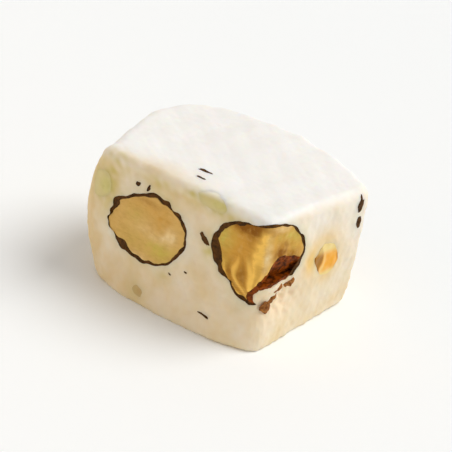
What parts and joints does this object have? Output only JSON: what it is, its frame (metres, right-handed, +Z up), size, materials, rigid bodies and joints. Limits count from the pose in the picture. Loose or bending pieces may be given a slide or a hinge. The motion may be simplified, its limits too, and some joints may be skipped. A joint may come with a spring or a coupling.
{
  "type": "nougat piece",
  "caption": "Bite-size cut piece of white nougat with whole almonds, nut chips and amber peel showing in its cut faces; rests flat.",
  "frame": {"origin": "middle of the flat foot: bounding box centre in X and Y, Z at the foot", "axes": "+Z up, +X along the longer side, -Y towards the face with the oval almond"},
  "size_m": [0.0416, 0.0322, 0.023],
  "materials": {
    "nougat": "matte white whipped nougat, cut faces slightly torn",
    "kernel": "roasted almond kernel, cut with a knife, satin",
    "pale_nut": "chips of pale green-yellow nut, satin",
    "peel": "amber candied peel, translucent and slightly glossy",
    "skin": "dark brown almond skin, dry"
  },
  "bodies": {
    "root": {"nougat_block": "nougat", "almond_front": "kernel", "almond_corner": "kernel", "almond_rear_corner": "kernel", "almond_rear": "kernel", "almond_left": "kernel", "chip_top_edge": "pale_nut", "chip_left_edge": "pale_nut", "chip_low": "pale_nut", "chip_rear": "pale_nut", "peel_right": "peel", "peel_rear": "peel", "peel_left": "peel", "skin_front": "skin", "skin_rear_upper": "skin", "skin_rear_lower": "skin", "skin_torn_upper": "skin", "skin_torn_inner": "skin", "skin_torn_middle": "skin", "skin_torn_lower": "skin", "skin_left": "skin"}
  },
  "joints": []
}
